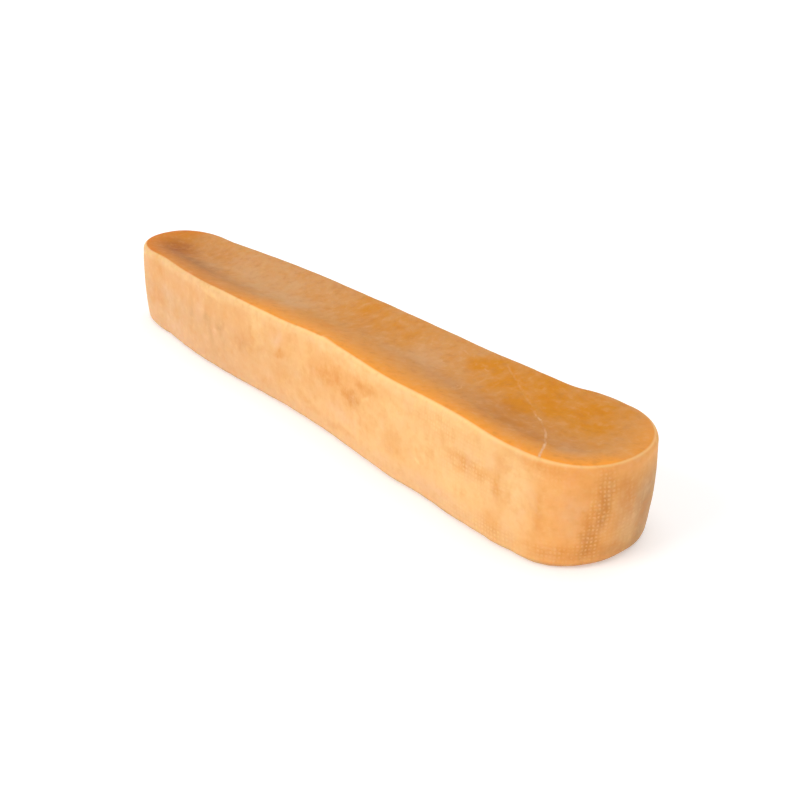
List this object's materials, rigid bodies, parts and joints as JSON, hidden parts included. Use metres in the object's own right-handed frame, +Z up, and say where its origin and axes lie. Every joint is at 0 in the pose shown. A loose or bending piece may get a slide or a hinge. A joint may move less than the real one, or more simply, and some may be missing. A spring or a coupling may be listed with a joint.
{
  "type": "hard yak cheese stick",
  "caption": "Hard dried yak cheese stick: a long cut slice with rounded ends, two sunken cut faces and cloth-pressed rind walls, for chewing.",
  "frame": {"origin": "centre of the bounding box in plan, at the level the stick rests on", "axes": "+X along the stick, from its narrow end to its wide end; +Z up, through the cut faces; -Y is the side of the front wall, the one with the long hollow halfway along"},
  "size_m": [0.178, 0.033, 0.0234],
  "materials": {
    "cheese": "waxy, satin, with a faint cloth weave in the rind"
  },
  "bodies": {
    "root": {"cheese_stick": "cheese"}
  },
  "joints": []
}
